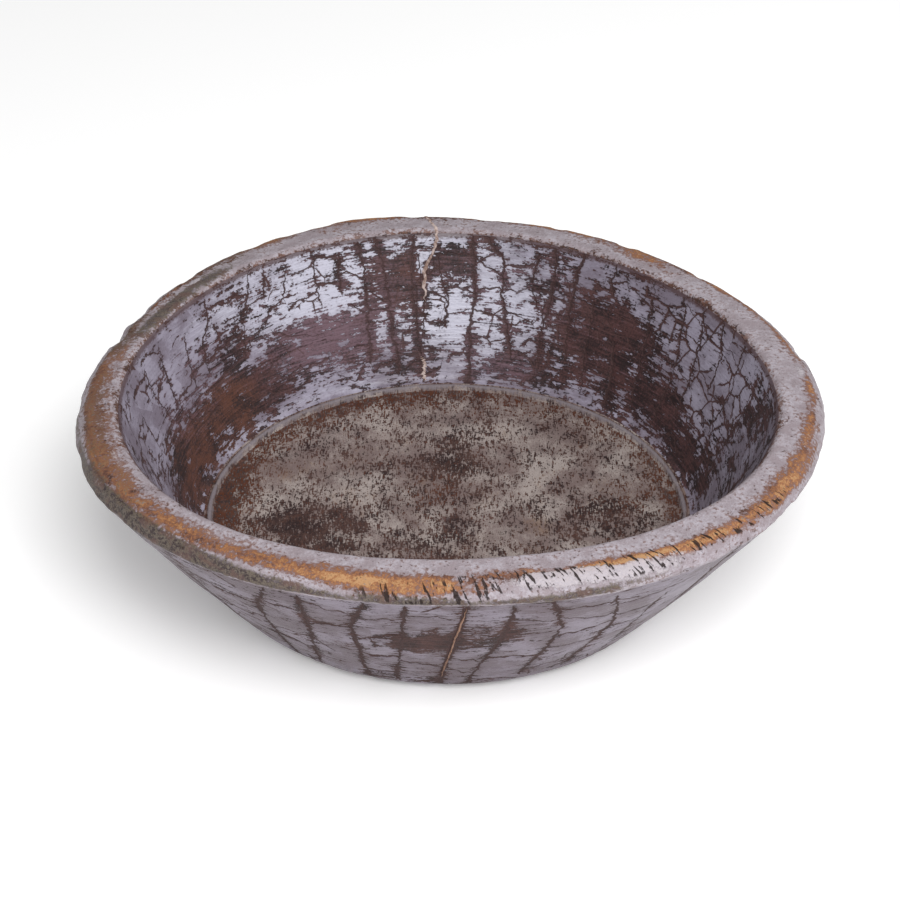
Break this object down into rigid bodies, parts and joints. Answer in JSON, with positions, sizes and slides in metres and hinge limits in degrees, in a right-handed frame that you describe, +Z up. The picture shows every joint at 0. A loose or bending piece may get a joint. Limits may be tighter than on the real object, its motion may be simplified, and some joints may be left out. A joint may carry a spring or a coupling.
{
  "type": "carved wooden bowl",
  "caption": "Wide hand-carved wooden bowl with a steep inner wall, flat beaded floor, bevelled lip band, worn crackled paint and filled drying cracks.",
  "frame": {"origin": "middle of the flat resting face, on the surface that the bowl stands on", "axes": "+Z up out of the mouth; -Y is the front, where the outer wall's filled crack is; +X is to the right as seen from the front"},
  "size_m": [0.3991, 0.3875, 0.114],
  "materials": {
    "painted_wood": "worn matt paint over dark wood",
    "pale_filler": "dry matt filler",
    "tan_filler": "dry matt filler"
  },
  "bodies": {
    "root": {"bowl_body": "painted_wood", "rim_crack_filler": "pale_filler", "wall_crack_filler": "tan_filler"}
  },
  "joints": []
}
